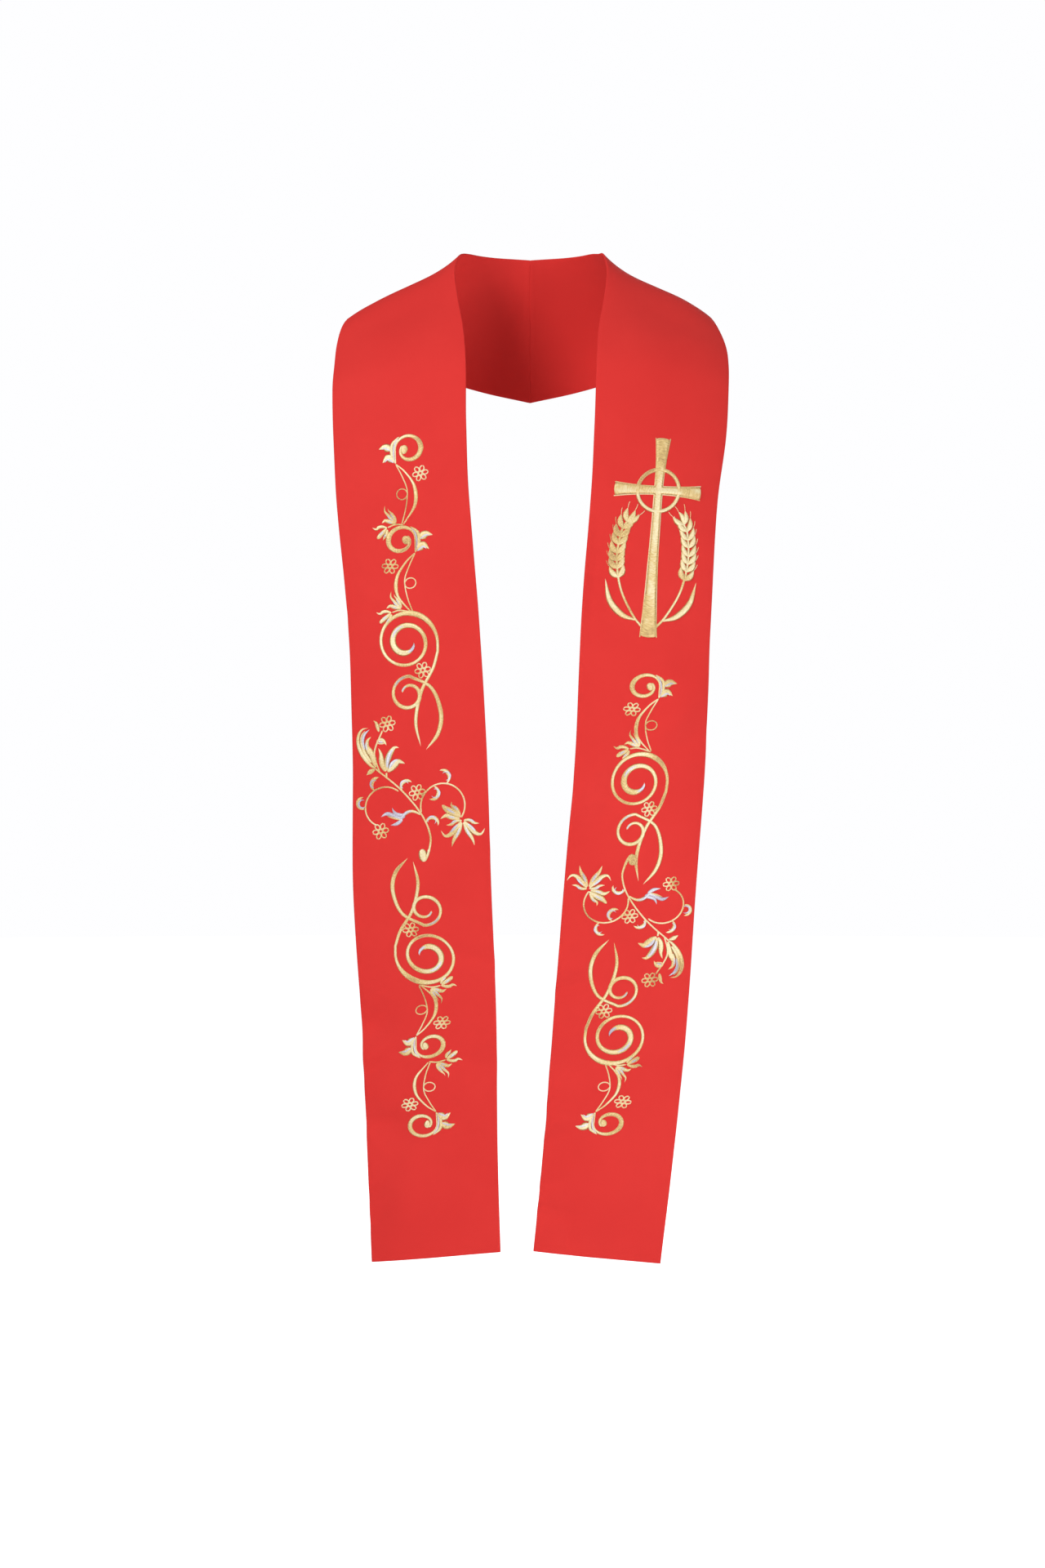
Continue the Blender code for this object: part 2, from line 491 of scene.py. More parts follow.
def scroll(centre, radius, end_radius, start, sweep, ease=1.0):
    """A scroll round its centre, from a start angle through a sweep, winding in to its end radius."""
    share = np.linspace(0, 1, SCROLL_POINTS)
    angle = np.radians(start + sweep * share)
    reach = radius + (end_radius - radius) * share ** ease
    x, y = centre[0] + reach * np.cos(angle), centre[1] + reach * np.sin(angle)
    return even_line(np.stack([x, y], axis=1))


def bow(start, top, end):
    """An arc of a circle through three points."""
    start, top, end = complex(*start), complex(*top), complex(*end)
    share = (end - start) / (top - start)
    centre = start + (top - start) * (share - abs(share) ** 2) / (2j * share.imag)
    first, _, last = np.unwrap(np.angle([start - centre, top - centre, end - centre]))
    round_it = centre + abs(start - centre) * np.exp(1j * np.linspace(first, last, BOW_POINTS))
    return even_line(np.stack([round_it.real, round_it.imag], axis=1), FINE_PITCH)


def join_lines(*lines):
    """Lines that follow each other, as one."""
    return even_line(np.vstack(lines))


def add_stroke(work, line, breadths, height, sides, slant, lift=0.0, end_round=1.0):
    """One stitched stroke: a grid rolled into a low closed ridge along the line."""
    steps = len(line) - 1
    ahead = np.gradient(line, axis=0)
    ahead /= np.linalg.norm(ahead, axis=1)[:, None]
    walked = walk(line)
    from_end = np.minimum(walked, walked[-1] - walked)
    reach = np.maximum(breadths / 2 * end_round, LEAST_ROUND)
    rounding = np.sqrt(np.clip(1 - (1 - np.minimum(from_end / reach, 1)) ** 2, 0, 1))
    halves = breadths / 2 * rounding
    heights = height * np.sqrt(halves / halves.max())
    strip = bmesh.ops.create_grid(work, x_segments=steps, y_segments=sides, size=0.5)["verts"]
    threads = {}
    for vert in strip:
        step = round((vert.co.x + 0.5) * steps)
        angle = 2 * math.pi * (vert.co.y + 0.5)
        aside = halves[step] * math.cos(angle)
        rise = math.sin(angle)
        if rise > TINY_RISE:
            up = heights[step] * rise ** CROWN_POWER
        else:
            up = SUNK * rise * (halves[step] > 0)
        # The place across the stroke for the thread map, fainter on narrow strokes so that their painted rim
        # shade and highlight are weaker
        rim = math.cos(angle) * min(1, halves[step] / FULL_RIM)
        threads[vert] = ((walked[step] + slant * abs(aside)) * MM, rim)
        vert.co = (
            line[step][0] - ahead[step][1] * aside,
            line[step][1] + ahead[step][0] * aside,
            up + lift,
        )
    thread_map = work.loops.layers.uv["thread"]
    for part in {part for vert in strip for part in vert.link_faces}:
        for loop in part.loops:
            loop[thread_map].uv = threads[loop.vert]


def put(place, line):
    """A motif's line, moved to its place on the band."""
    return np.stack([
        place.x + place.wide * line[:, 0] + place.lean * line[:, 1],
        place.y + place.tall * line[:, 1] + place.tilt * line[:, 0],
    ], axis=1)


def satin(work, place, line, breadths, lift=0.0, height=SATIN_HEIGHT):
    """A satin-stitched stroke of a motif, with its breadths at even steps from start to end."""
    size = math.sqrt(abs(place.wide * place.tall))
    smooth = np.maximum(smooth_along(breadths, len(line)), 0) * size
    add_stroke(work, put(place, line), smooth, height, SATIN_SIDES, SATIN_SLANT, lift)


def streak(work, place, line, breadths):
    """A narrow satin stroke that lies over a broader one."""
    satin(work, place, line, breadths, OVERLAY)


def cord_line(work, place, line, breadth=CORD_BREADTH):
    """A fine corded line of a motif, with its stitches laid aslant like a rope's."""
    breadths = np.full(len(line), breadth)
    add_stroke(work, put(place, line), breadths, CORD_HEIGHT, CORD_SIDES, CORD_SLANT)


def turned(line, base, degrees):
    """A line turned round its origin and moved to a base."""
    turn = math.radians(degrees)
    return np.stack([
        base[0] + line[:, 0] * math.cos(turn) - line[:, 1] * math.sin(turn),
        base[1] + line[:, 0] * math.sin(turn) + line[:, 1] * math.cos(turn),
    ], axis=1)


def loop_line(centre, ahead_radius, aside_radius, heading=0.0, overlap=LOOP_OVERLAP, count=LOOP_POINTS):
    """A closed loop, round or drawn out along its heading."""
    angle = np.linspace(0, 2 * math.pi * overlap, count)
    loop = np.stack([ahead_radius * np.cos(angle), aside_radius * np.sin(angle)], axis=1)
    return turned(loop, centre, heading)


def planted(base, heading, size, hand, *points):
    """A flower's line from its base, drawn upright and turned to its heading. hand -1 mirrors it."""
    return turned(through(*points) * (hand * size, size), base, heading - 90)


def rosette(work, place, centre):
    """A small open flower: looped petals round a ring."""
    for petal in range(PETALS):
        heading = ROSETTE_TURN + petal * 360 / PETALS
        toward = math.radians(heading)
        middle_x = centre[0] + PETAL_REACH * math.cos(toward)
        middle_y = centre[1] + PETAL_REACH * math.sin(toward)
        petal_line = loop_line((middle_x, middle_y), PETAL_LENGTH, PETAL_BREADTH, heading)
        cord_line(work, place, petal_line, 1.5)
    cord_line(work, place, loop_line(centre, ROSETTE_RING, ROSETTE_RING), 1.4)


def tulip(gold, silver, place, base, heading, size, hand):
    """A small upright flower: a beaked petal on one side, a long thin one and a shorter one."""
    flower = (base, heading, size, hand)
    beak = planted(*flower, (0, 0), (-5.1, 6.6), (-8.7, 11), (-14, 10.8))
    satin(gold, place, beak, (1.6, 5.0, 5.4, 3.6, 0))
    long_petal = planted(*flower, (0, 0.6), (-1.2, 7), (-1.8, 13), (-2.2, 20), (2, 25.6))
    satin(gold, place, long_petal, (1.6, 4.4, 3.8, 2, 0))
    short_petal = planted(*flower, (0.4, 0.6), (2.2, 6), (2.6, 12), (1.9, 17.6), (2.9, 20.8))
    satin(gold, place, short_petal, (1.6, 4.2, 3.8, 2, 0))
    streak(silver, place, planted(*flower, (-1.2, 4), (-2.6, 9.6), (-2.6, 15)), (0.6, 1.9, 0.5))
    streak(silver, place, planted(*flower, (0.9, 4.6), (1.2, 9.6), (1.2, 14)), (0.6, 1.6, 0.4))
    streak(silver, place, planted(*flower, (-3, 3), (-5.6, 6.2), (-7, 9)), (0.5, 1.8, 0.4))


def bud(gold, silver, place, base, heading, size, hand):
    """A small nodding flower: a beaked petal on one side and two short blunt ones."""
    flower = (base, heading, size, hand)
    beak = planted(*flower, (0.4, 0.4), (-4.2, 3.6), (-6.8, 7.8), (-6.8, 12), (-11.4, 14.6))
    satin(gold, place, beak, (2, 3.8, 4.4, 3, 0))
    satin(gold, place, planted(*flower, (0, 1), (1.2, 6.6), (1.9, 12.2), (3.2, 18)), (2.4, 5.2, 5.6, 3.6))
    satin(gold, place, planted(*flower, (1.6, 1), (5.2, 4.8), (6.8, 9.4), (8.6, 13.6)), (2.2, 4.4, 3.4, 0.2))
    streak(silver, place, planted(*flower, (0.6, 5.6), (1.0, 9.6), (2, 14)), (1.0, 2.3, 0.8))
    streak(silver, place, planted(*flower, (4.6, 5.6), (6, 8.4), (6.6, 11)), (0.6, 1.8, 0.4))


def crescent(gold, silver, place, base, top, tip, side=1):
    """A curled leaflet of gold with a silver streak, along its outer side or, with side -1, its inner."""
    base, top, tip = (np.array(point, float) for point in (base, top, tip))
    outwards = top - (base + tip) / 2
    outwards /= np.linalg.norm(outwards)
    satin(gold, place, bow(base, top, tip), (1.0, 3.8, 5.0, 4.0, 0), height=0.9)
    start, end = base * 0.8 + tip * 0.2, tip * 0.7 + base * 0.3
    lean = outwards * side * STREAK_ASIDE
    streak(silver, place, bow(start + lean, top + lean, end + lean), (0.4, 2.0, 2.6, 1.6, 0))


# In metres
THREAD_WIDTH = 0.00045


def painted_thread_light(group, thread, parts, wave):
    """How much light is painted into a stitch's colour, from 0, painted shade, to 1, painted highlight.

    Where the painted lustre is high a stroke is painted bright along its middle, and where it is low along
    its rims.
    """
    # The place across the stroke, from 1 in the middle to -1 at its rims, which sets where the painted
    # highlight and painted shade fall
    aside = add_node(group, "ShaderNodeMath", {1: 2}, operation="POWER")
    link(group, parts, "Y", aside, 0)
    crown = add_range(group, aside, "Value", (0.15, 0.85), (1, -1), interpolation_type="SMOOTHSTEP")
    # The painted lustre, which drifts over the cloth and moves the painted highlight between a stroke's
    # middle and its rims
    object_place = add_node(group, "ShaderNodeTexCoord")
    drift = add_noise(group, object_place, "Object", 26, 1)
    lustre = add_range(group, drift, "Fac", (0.30, 0.58), (-0.45, 1))
    shine = add_node(group, "ShaderNodeMath", operation="MULTIPLY")
    link(group, lustre, "Result", shine, 0)
    link(group, crown, "Result", shine, 1)
    # Painted glints: each thread's stripe and single threads painted as catching more or less of the light
    stretch = add_node(group, "ShaderNodeMapping", {"Scale": (700, 1.4, 1)})
    link(group, thread, "UV", stretch, "Vector")
    painted_glints = add_noise(group, stretch, "Vector", 1, 3)
    uneven = add_range(group, painted_glints, "Fac", (0.3, 0.7), (0.04, 0.58))
    threads_lit = add_node(group, "ShaderNodeMath", {1: 0.4}, operation="MULTIPLY_ADD")
    link(group, wave, "Value", threads_lit, 0)
    link(group, uneven, "Result", threads_lit, 2)
    level = add_node(group, "ShaderNodeMath", {1: 0.46}, operation="MULTIPLY_ADD", use_clamp=True)
    link(group, shine, "Value", level, 0)
    link(group, threads_lit, "Value", level, 2)
    return level


def three_tones(group, given, level):
    """A colour that runs from the painted shade through the thread's body colour to the painted highlight as
    the painted light rises.
    """
    low_part = add_range(group, level, "Value", (0, 0.5))
    body = add_node(group, "ShaderNodeMix", data_type="RGBA")
    link(group, low_part, "Result", body, "Factor")
    link(group, given, "Painted_Shade", body, "A")
    link(group, given, "Body", body, "B")
    high_part = add_range(group, level, "Value", (0.5, 1))
    colour = add_node(group, "ShaderNodeMix", data_type="RGBA")
    link(group, high_part, "Result", colour, "Factor")
    link(group, body, "Result", colour, "A")
    link(group, given, "Bright", colour, "B")
    return colour


def silk_group():
    """A node group for stitched thread: fine threads across each stroke and a changing lustre, painted into
    the colour as highlight and shade.
    """
    group = bpy.data.node_groups.new("stitched_thread", "ShaderNodeTree")
    for name in ("Painted_Shade", "Body", "Bright"):
        group.interface.new_socket(name, in_out="INPUT", socket_type="NodeSocketColor")
    for name, kind in (("Color", "Color"), ("Roughness", "Float"), ("Height", "Float")):
        group.interface.new_socket(name, in_out="OUTPUT", socket_type="NodeSocket" + kind)
    given = add_node(group, "NodeGroupInput")
    result = add_node(group, "NodeGroupOutput")
    thread = add_node(group, "ShaderNodeUVMap", uv_map="thread")
    parts = add_node(group, "ShaderNodeSeparateXYZ")
    link(group, thread, "UV", parts, "Vector")
    count = add_node(group, "ShaderNodeMath", {1: THREAD_WIDTH}, operation="DIVIDE")
    link(group, parts, "X", count, 0)
    wave = add_node(group, "ShaderNodeMath", {1: 0.5}, operation="PINGPONG")
    link(group, count, "Value", wave, 0)
    level = painted_thread_light(group, thread, parts, wave)
    colour = three_tones(group, given, level)
    gloss = add_range(group, level, "Value", (0, 1), (0.5, 0.32))
    link(group, colour, "Result", result, "Color")
    link(group, gloss, "Result", result, "Roughness")
    link(group, wave, "Value", result, "Height")
    return group


stitched_thread = silk_group()


def thread_material(name, dark, body, bright):
    """Embroidery thread of one colour, with painted highlight and painted shade in its base colour."""
    material, tree, shader = node_material(name)
    set_inputs(shader, {"Metallic": 0.1, "Specular IOR Level": 0.55, "Sheen Weight": 0.1})
    colours = {"Painted_Shade": dark, "Body": body, "Bright": bright}
    thread = add_node(tree, "ShaderNodeGroup", colours, node_tree=stitched_thread)
    link(tree, thread, "Color", shader, "Base Color")
    link(tree, thread, "Roughness", shader, "Roughness")
    add_bump(tree, thread, "Height", 0.5, shader)
    return material


# Each thread's three colours: its painted shade, its own body colour and its painted highlight
gold_thread = thread_material(
    "gold_thread", (0.37, 0.19, 0.06, 1), (0.75, 0.54, 0.21, 1), (0.88, 0.78, 0.50, 1),
)
silver_thread = thread_material(
    "silver_thread", (0.30, 0.26, 0.34, 1), (0.54, 0.51, 0.60, 1), (0.80, 0.79, 0.86, 1),
)


def new_work():
    """An empty piece of flat embroidery."""
    work = bmesh.new()
    work.loops.layers.uv.new("thread")
    return work


def sew_down(name, half, face, work, material):
    """Lay a flat embroidery on the cloth's face and make it a piece."""
    bmesh.ops.remove_doubles(work, verts=work.verts, dist=WELD)
    bmesh.ops.recalc_face_normals(work, faces=work.faces)
    mesh = bpy.data.meshes.new(name)
    work.to_mesh(mesh)
    work.free()
    flat = np.zeros(len(mesh.vertices) * 3)
    mesh.vertices.foreach_get("co", flat)
    flat = flat.reshape(-1, 3) * MM
    rows = len(face) - 1
    from_hem = walk(face[::-1, COLUMNS // 2])
    along = rows - np.interp(flat[:, 1], from_hem, np.arange(rows + 1))
    row = np.clip(along.astype(int), 0, rows - 1)
    widths = np.linalg.norm(np.diff(face, axis=1), axis=2).sum(axis=1)
    across = (0.5 + half.side * flat[:, 0] / widths[row]) * COLUMNS
    column = np.clip(across.astype(int), 0, COLUMNS - 1)
    t, u = (along - row)[:, None], (across - column)[:, None]
    normals = np.cross(np.gradient(face, axis=0), np.gradient(face, axis=1)) * half.side
    normals /= np.linalg.norm(normals, axis=2)[:, :, None]

    def between(grid):
        """The grid's value at each place, from the four points round it."""
        near = grid[row, column] * (1 - u) + grid[row, column + 1] * u
        far = grid[row + 1, column] * (1 - u) + grid[row + 1, column + 1] * u
        return near * (1 - t) + far * t

    placed = between(face) + between(normals) * flat[:, 2:]
    mesh.vertices.foreach_set("co", placed.ravel())
    mesh.update()
    mesh.shade_smooth()
    mesh.materials.append(material)
    piece = bpy.data.objects.new(name, mesh)
    bpy.context.scene.collection.objects.link(piece)
    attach(piece, "root")
    return piece


# The scrolls
# Each is built of two motifs. A curl has a round bulb, a silver-streaked crescent, two leaves, a
# double stem with a ring, a rosette, a tulip and a bud. A tail has a large and a small spiral, whose
# ends cross as long blades. KNOT is where the stalk of a curl's flowers leaves its stem, and a
# mirrored curl has the longer stalk.
KNOT = (-11, -90)
LONGER_STALK = 5
VEIN_BELOW = 0.20


def broad_leaf(gold, silver, place, base, middle_point, tip):
    """A broad leaf with a rounded back and a silver streak along its lower side."""
    satin(gold, place, through(base, middle_point, tip), (5.0, 9.8, 8.4, 4.6, 0), height=0.9)
    base, middle_point, tip = (np.array(point, float) for point in (base, middle_point, tip))
    below = (base + tip - 2 * middle_point) * VEIN_BELOW
    vein = through(base + below * 0.7, middle_point + below, tip * 0.8 + base * 0.2)
    streak(silver, place, vein, (0.8, 2.4, 2.4, 0))


def stalked_flowers(gold, silver, place, longer):
    """A tulip and a bud on one stalk, drawn from the knot that it leaves. longer is added to it."""
    end = (-18.7 - longer, -1.8 + longer * 0.7)
    cord_line(gold, place, through((1, -0.4), (-8.6 - longer, 1.0 + longer * 0.5), end), 1.8)
    tulip(gold, silver, place, (-7.6 - longer, 2.2 + longer * 0.6), 122, 1.0, 1)
    bud(gold, silver, place, end, 212, 1.0, -1)


def curl(gold, silver, place):
    """A curl with its leaves, stems, ring, rosette and flowers, drawn round the curl's middle."""
    ring = scroll((2, 0), 16, 7, 180, -395, 3)
    satin(gold, place, join_lines([(-14, -17)], ring), (1.4, 1.8, 2.8, 4.2, 4.6, 6.2, 5.8, 4.8, 3.6, 3.8))
    satin(gold, place, even_line([(-4, -6), (-3, 0), (-2, 5)], FINE_PITCH), (6, 9, 9), height=1.1)
    satin(gold, place, through((-14, -17), (-18, -6), (-17, 7), (-8, 16)), (0.8, 3.8, 4.6, 4.0, 0.8))
    streak(silver, place, through((-15, -14), (-16, -4), (-14, 7), (-9, 14)), (0.4, 1.7, 2.0, 1.7, 0.4))
    broad_leaf(gold, silver, place, (-19, 0), (-26, 5), (-34, 3))
    broad_leaf(gold, silver, place, (-16, -14), (-23, -8), (-30, -14))
    stem = through((-14, -17), (-3, -28), (7, -46), (6, -68), (-10, -90))
    satin(gold, place, stem, (1.4, 2.0, 2.6, 4.2, 4.8, 3.4, 2.0, 1.4))
    cord_line(gold, place, through((-14, -17), (-7, -33), (-2, -50), (-5, -70), (-12, -90)), 1.6)
    cord_line(gold, place, loop_line((-8.6, -54), 6.4, 6.4), 1.4)
    rosette(gold, place, (15, -31))
    knot = put(place, np.array([KNOT]))[0]
    mirrored = place.wide * place.tall < 0
    beside = Place(knot[0], knot[1], math.copysign(place.wide, place.tall), place.tall, place.lean, 0)
    stalked_flowers(gold, silver, beside, LONGER_STALK if mirrored else 0)


def tail(gold, silver, place):
    """A large and a small spiral with two long blades, drawn round the large one's middle."""
    blade = through((15, -122), (10, -92), (18, -58), (33, -32), (40, -12))
    spiral = scroll((3, 1), 38, 9, -10, 725)
    breadths = (
        0, 3.4, 4.4, 4.4, 4.0, 3.8, 3.8, 3.6, 4.2, 6.4, 6.6, 5.0, 4.2,
        4.0, 4.0, 3.8, 3.8, 4.0, 4.4, 5.2, 6.2, 6.8, 7.8, 6.8, 0,
    )
    satin(gold, place, join_lines(blade, spiral), breadths)
    small_blade = through((21, -126), (36, -107), (40, -83), (30, -54), (5, -39))
    small_spiral = scroll((3, -60), 21, 8, 92, 430)
    small_breadths = (0, 4.0, 5.2, 5.4, 4.8, 4.2, 3.8, 3.8, 3.8, 4.0, 4.8, 4.6, 5.0, 3.8, 2.4)
    satin(gold, place, join_lines(small_blade, small_spiral), small_breadths)
    streak(silver, place, scroll((3, 1), 19.6, 17, 92, 70), (0.4, 2.6, 2.8, 0.6))
    streak(silver, place, scroll((3, 1), 12.4, 9.6, 272, 78), (0.6, 3.4, 3.2, 0.6))
    streak(silver, place, scroll((3, -60), 20.8, 18.8, 94, 60), (0.4, 1.7, 1.7, 0.4))
    streak(silver, place, scroll((3, -60), 10, 8.2, 98, 60), (0.6, 1.6, 1.6))
    rosette(gold, place, (21, -33))


# The flower spray
# It lies between the two scrolls of a band: a bent stem with a bulb at its foot, two side scrolls
# with curled leaflets, a bell flower, a plume leaf and a silver leaf, and three bells at the end of
# one side scroll.
def bell(gold, silver, place, base, hand):
    """A drooping bell flower with a hooked petal between a short one and a straight one."""
    flower = (base, 90, 1, hand)
    satin(gold, place, planted(*flower, (0, 0), (7, 0), (12.6, -3.6), (18.5, -4.4)), (2, 4.2, 3.8, 0))
    satin(gold, place, planted(*flower, (0, -2), (3.6, -11.6), (9.6, -21), (12.4, -30)), (2.2, 5.2, 4.6, 0))
    long_petal = planted(*flower, (0.6, -1), (6.5, -7.6), (14, -15.4), (20.4, -16.6), (25, -10))
    satin(gold, place, long_petal, (2.4, 6.2, 6.0, 3.2, 0))
    streak(silver, place, planted(*flower, (4.6, -4), (9, -8), (14, -13.4)), (1.2, 3.2, 1.0))
    streak(silver, place, planted(*flower, (5, 0.6), (9.4, -0.4), (13.4, -3.6)), (0.5, 2.4, 0.5))
    streak(silver, place, planted(*flower, (2.4, -7.6), (5.2, -14.6), (8, -20.4)), (1, 2.8, 0.6))


def silver_leaf(gold, silver, place):
    """A silver leaf with three tips, on a gold stalk."""
    satin(silver, place, through((-22, 47.6), (-28.4, 48), (-34, 50.6), (-37.2, 57)), (3, 4.2, 3.4, 0))
    long_tip = through((-21.4, 46.6), (-28.6, 44), (-36.6, 47.8), (-43.6, 50), (-50.6, 46.6))
    satin(silver, place, long_tip, (3, 4.4, 4.8, 4.2, 0))
    satin(silver, place, through((-24.6, 43), (-31, 38), (-39.4, 36.2)), (3.2, 4.4, 0))
    stalk = through((-2.6, 46.6), (-8.4, 50), (-14, 51.6), (-20, 50), (-25, 45))
    satin(gold, place, stalk, (1.8, 3.0, 3.8, 4.4, 2.4))
    streak(silver, place, through((-12, 51.6), (-17, 51.4), (-21.6, 49), (-26, 44)), (0.6, 2.6, 3.6, 2.6))
    streak(gold, place, through((-26.6, 42), (-35.6, 44.6), (-43, 47.2)), (1.0, 2.2, 0.5))


def three_bells(gold, silver, place):
    """A small bell of three petals between two drooping ones."""
    satin(gold, place, through((43.8, 44), (38.6, 52), (33.6, 55.6), (33.6, 60.4)), (2, 4.8, 3.8, 0))
    satin(gold, place, through((43.2, 40), (33.8, 41.8), (27, 44.4), (20, 40.8)), (2.4, 5.6, 5.2, 0))
    satin(gold, place, through((44.4, 42), (36, 47.2), (28, 51.4), (22.2, 57)), (3, 7.2, 7.2, 2.4))
    streak(silver, place, through((41, 49), (38, 53.2), (34.6, 55.4)), (0.5, 2.2, 0.5))
    streak(silver, place, through((38, 46.2), (32, 49.6), (26.8, 53)), (0.8, 2.8, 0.8))
    streak(silver, place, through((38, 41), (33, 42.4), (28.6, 43.6)), (0.8, 2.4, 0.6))
    bell(gold, silver, place, (45.4, 37.6), -1)
    bell(gold, silver, place, (47.2, 38), 1)


def bell_flower(gold, silver, place):
    """A bell flower of three petals that stands on the stem."""
    cord_line(gold, place, through((-42.8, 92), (-43.2, 95), (-42.8, 98.4)), 2.6)
    left_petal = through((-43.6, 99.4), (-47.4, 106.4), (-48.6, 113.6), (-49.2, 120.4), (-52, 127.4))
    satin(gold, place, left_petal, (3, 6.4, 7.0, 4.2, 0))
    right_petal = through((-42, 99), (-37.4, 102.4), (-32.8, 107), (-28, 110.4), (-20.4, 107.4))
    satin(gold, place, right_petal, (3, 7.2, 8.4, 5.4, 0))
    middle_petal = through(
        (-42.4, 100), (-42.2, 108.6), (-39.8, 116.4), (-36, 123), (-31.8, 127), (-27, 126.2),
    )
    satin(gold, place, middle_petal, (3, 5.6, 7.6, 7.2, 4.8, 0))
    middle_streak = through((-42.2, 103.6), (-40.8, 113), (-37.8, 120.6), (-33.4, 125.4))
    streak(silver, place, middle_streak, (1.6, 4.4, 4.6, 1))
    right_streak = through((-40, 102.4), (-36.4, 108), (-31.8, 111.8), (-28, 112.4))
    streak(silver, place, right_streak, (1.6, 4.0, 3.4, 0.5))


def plume_leaf(gold, silver, place):
    """A plume of curved strands at the stem's end."""
    outer_strand = through(
        (-56, 103.4), (-62.4, 108.4), (-71.4, 120.4), (-76, 132.2),
        (-75.8, 142.6), (-71, 150), (-63.4, 151.6),
    )
    satin(gold, place, outer_strand, (1.6, 4.6, 5.6, 5.2, 4.4, 3, 0))
    inner_strand = through((-61, 110.6), (-68.6, 122.6), (-72.2, 134.2), (-71.6, 142.6), (-67.4, 148.6))
    satin(gold, place, inner_strand, (3.4, 4.8, 4.2, 3.2, 0.8))
    hooked_strand = through((-62.6, 120), (-65.6, 129), (-65, 136.4), (-60.2, 141.4))
    satin(gold, place, hooked_strand, (4.6, 5.4, 4.4, 0))
    broad_strand = through((-56, 104.6), (-58.2, 114.6), (-61.6, 123.4), (-66, 131.8))
    satin(gold, place, broad_strand, (2.4, 7.4, 7.2, 2.6))
    outer_streak = through((-68.4, 126), (-70.4, 136.6), (-67.8, 144.6), (-61.6, 149.8))
    streak(silver, place, outer_streak, (0.8, 3.0, 3.4, 0))
    streak(silver, place, through((-65, 124.6), (-66.8, 131), (-65.2, 136.6)), (0.5, 2.4, 0.4))


def small_leaves(gold, silver, place):
    """Small leaves beside the stem and its upper branch."""
    satin(gold, place, through((-56.4, 102.6), (-61.6, 100.8), (-67.4, 96.6)), (1.2, 6.0, 0))
    satin(gold, place, through((-54, 135.6), (-48.6, 137.2), (-44.8, 135), (-42, 130)), (1.4, 4.2, 4.0, 0))
    cord_line(gold, place, through((-54, 135.6), (-51.2, 132.6), (-46.6, 132.2), (-43.6, 133.4)), 1.5)
    satin(silver, place, through((-52, 135), (-48.6, 134.4), (-45.4, 133.8)), (0.8, 2.8, 0.8))
    satin(gold, place, through((-50.6, 146), (-52, 152.6), (-53.8, 157.4), (-57, 159.8)), (1.6, 4.8, 3.6, 0))


def spray(gold, silver, place):
    """The whole spray, drawn from the bulb at its foot."""
    stem = through((6, 2), (8, 22), (-2, 47), (-26, 77), (-57, 104))
    satin(gold, place, stem, (2.8, 2.4, 2.2, 2.2, 2.2, 2.2, 2.0, 2.0))
    satin(gold, place, through((6, 7), (5, 1), (1, -7)), (2.4, 3.6, 3.4))
    satin(gold, place, even_line([(-2, 7), (-1, -1), (1, -8)], FINE_PITCH), (8.4, 10.0, 8.4), height=1.2)
    satin(gold, place, through((-51, 98), (-57, 122), (-46, 148)), (1.8, 2.1, 2.1, 1.8))
    for centre in ((-40, 155), (-7, 73), (-51, 30)):
        rosette(gold, place, centre)
    cord_line(gold, place, scroll((-46, 57), 25, 22, 47, 200), 2.0)
    cord_line(gold, place, scroll((23, 56), 26, 26, 195, -230), 2.0)
    for leaflet in (
        ((-58, 78), (-61, 87), (-52, 93)),
        ((-70, 57), (-78, 64), (-71, 71), -1),
        ((-25, 76), (-23, 86), (-13, 85)),
        ((28, 82), (31, 92), (20, 97)),
        ((13, 79), (18, 69), (7, 65)),
        ((3, 37), (10, 43), (17, 33)),
    ):
        crescent(gold, silver, place, *leaflet)
    for part in (silver_leaf, three_bells, bell_flower, plume_leaf, small_leaves):
        part(gold, silver, place)


# The right half's embroidery
# A long scroll of two curls and a tail hangs from the chest, the spray lies below it, and the same
# scroll turned round and a little shorter stands above the hem.
right_gold, right_silver = new_work(), new_work()
curl(right_gold, right_silver, Place(10, 945, 1.0, 1.0, 0, 0))
curl(right_gold, right_silver, Place(-2, 837, -1.05, 0.95, 0.10, 0))
tail(right_gold, right_silver, Place(-12, 716, 1.0, 1.0, 0, 0))
spray(right_gold, right_silver, Place(4, 468, 1.0, 1.0, 0, 0))
tail(right_gold, right_silver, Place(6, 351, -1.0, -0.90, 0, 0.05))
curl(right_gold, right_silver, Place(-1, 246, 1.05, -0.80, -0.05, 0.10))
curl(right_gold, right_silver, Place(-7, 155, -1.05, -0.80, 0.05, -0.05))
right_trim = [
    sew_down("right_half_gold", RIGHT_HALF, right_face, right_gold, gold_thread),
    sew_down("right_half_silver", RIGHT_HALF, right_face, right_silver, silver_thread),
]

# The left half's embroidery
# A short scroll of one curl and a tail hangs below the emblem, the spray lies under it, turned
# round, and the short scroll turned round stands above the hem.
left_gold, left_silver = new_work(), new_work()
curl(left_gold, left_silver, Place(3, 667, -1.05, 0.85, 0.05, -0.10))
tail(left_gold, left_silver, Place(-6, 554, 0.95, 0.95, 0, 0.10))
spray(left_gold, left_silver, Place(-2, 464, -1.0, -0.90, -0.05, -0.05))
tail(left_gold, left_silver, Place(0, 259, -1.0, -0.90, 0, -0.10))
curl(left_gold, left_silver, Place(-7, 157, 1.05, -0.80, -0.05, 0.10))

